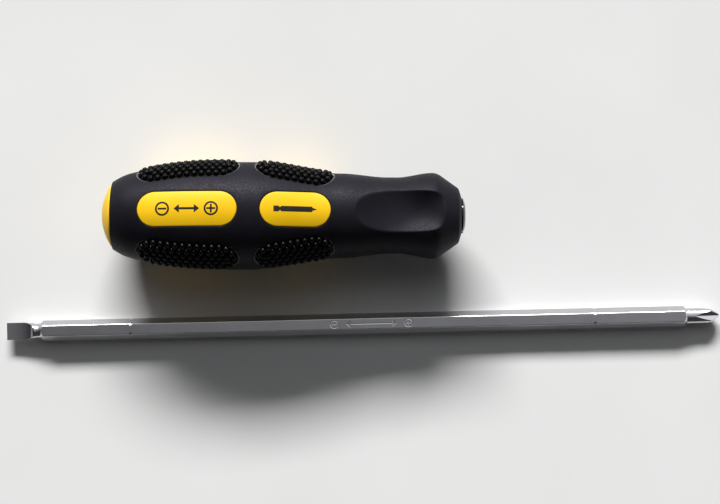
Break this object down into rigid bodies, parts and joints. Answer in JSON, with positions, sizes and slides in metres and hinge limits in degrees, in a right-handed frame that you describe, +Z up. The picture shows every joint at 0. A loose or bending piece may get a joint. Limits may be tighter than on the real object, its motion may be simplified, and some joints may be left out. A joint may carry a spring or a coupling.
{
  "type": "double-ended screwdriver",
  "caption": "Screwdriver laid out with its reversible hexagon blade, slotted at one end and cross at the other, beside a studded soft-grip handle with a hexagon socket.",
  "frame": {"origin": "middle of the layout's box, on the surface that the handle and the blade lie on", "axes": "+X along the handle's axis from its butt to its socket, +Y from the blade to the handle, +Z up from the surface"},
  "size_m": [0.25, 0.063, 0.0377],
  "materials": {
    "grip_rubber": "matte blue-black moulded rubber",
    "stud_rubber": "deep black soft rubber with a faint sheen",
    "yellow_plastic": "smooth yellow moulded plastic",
    "blade_steel": "satin nickel-plated tool steel",
    "ferrule_plating": "bright nickel plating",
    "socket_steel": "plain turned steel",
    "spring_steel": "drawn spring wire"
  },
  "bodies": {
    "handle": {"grip_sleeve": "grip_rubber", "handle_core": "yellow_plastic", "butt_cap": "yellow_plastic", "nose_ferrule": "ferrule_plating", "socket_sleeve": "socket_steel", "thrust_disc": "socket_steel", "retaining_ring": "spring_steel", "stud_pad_rear_1": "stud_rubber", "stud_pad_rear_2": "stud_rubber", "stud_pad_rear_3": "stud_rubber", "stud_pad_front_1": "stud_rubber", "stud_pad_front_2": "stud_rubber", "stud_pad_front_3": "stud_rubber"},
    "blade": {"blade": "blade_steel"}
  },
  "joints": [
    {"name": "blade_draw", "type": "slide", "parent": "handle", "child": "blade", "axis": [0.9997, 0.0229, 0], "range_m": [0, 0.16]}
  ]
}
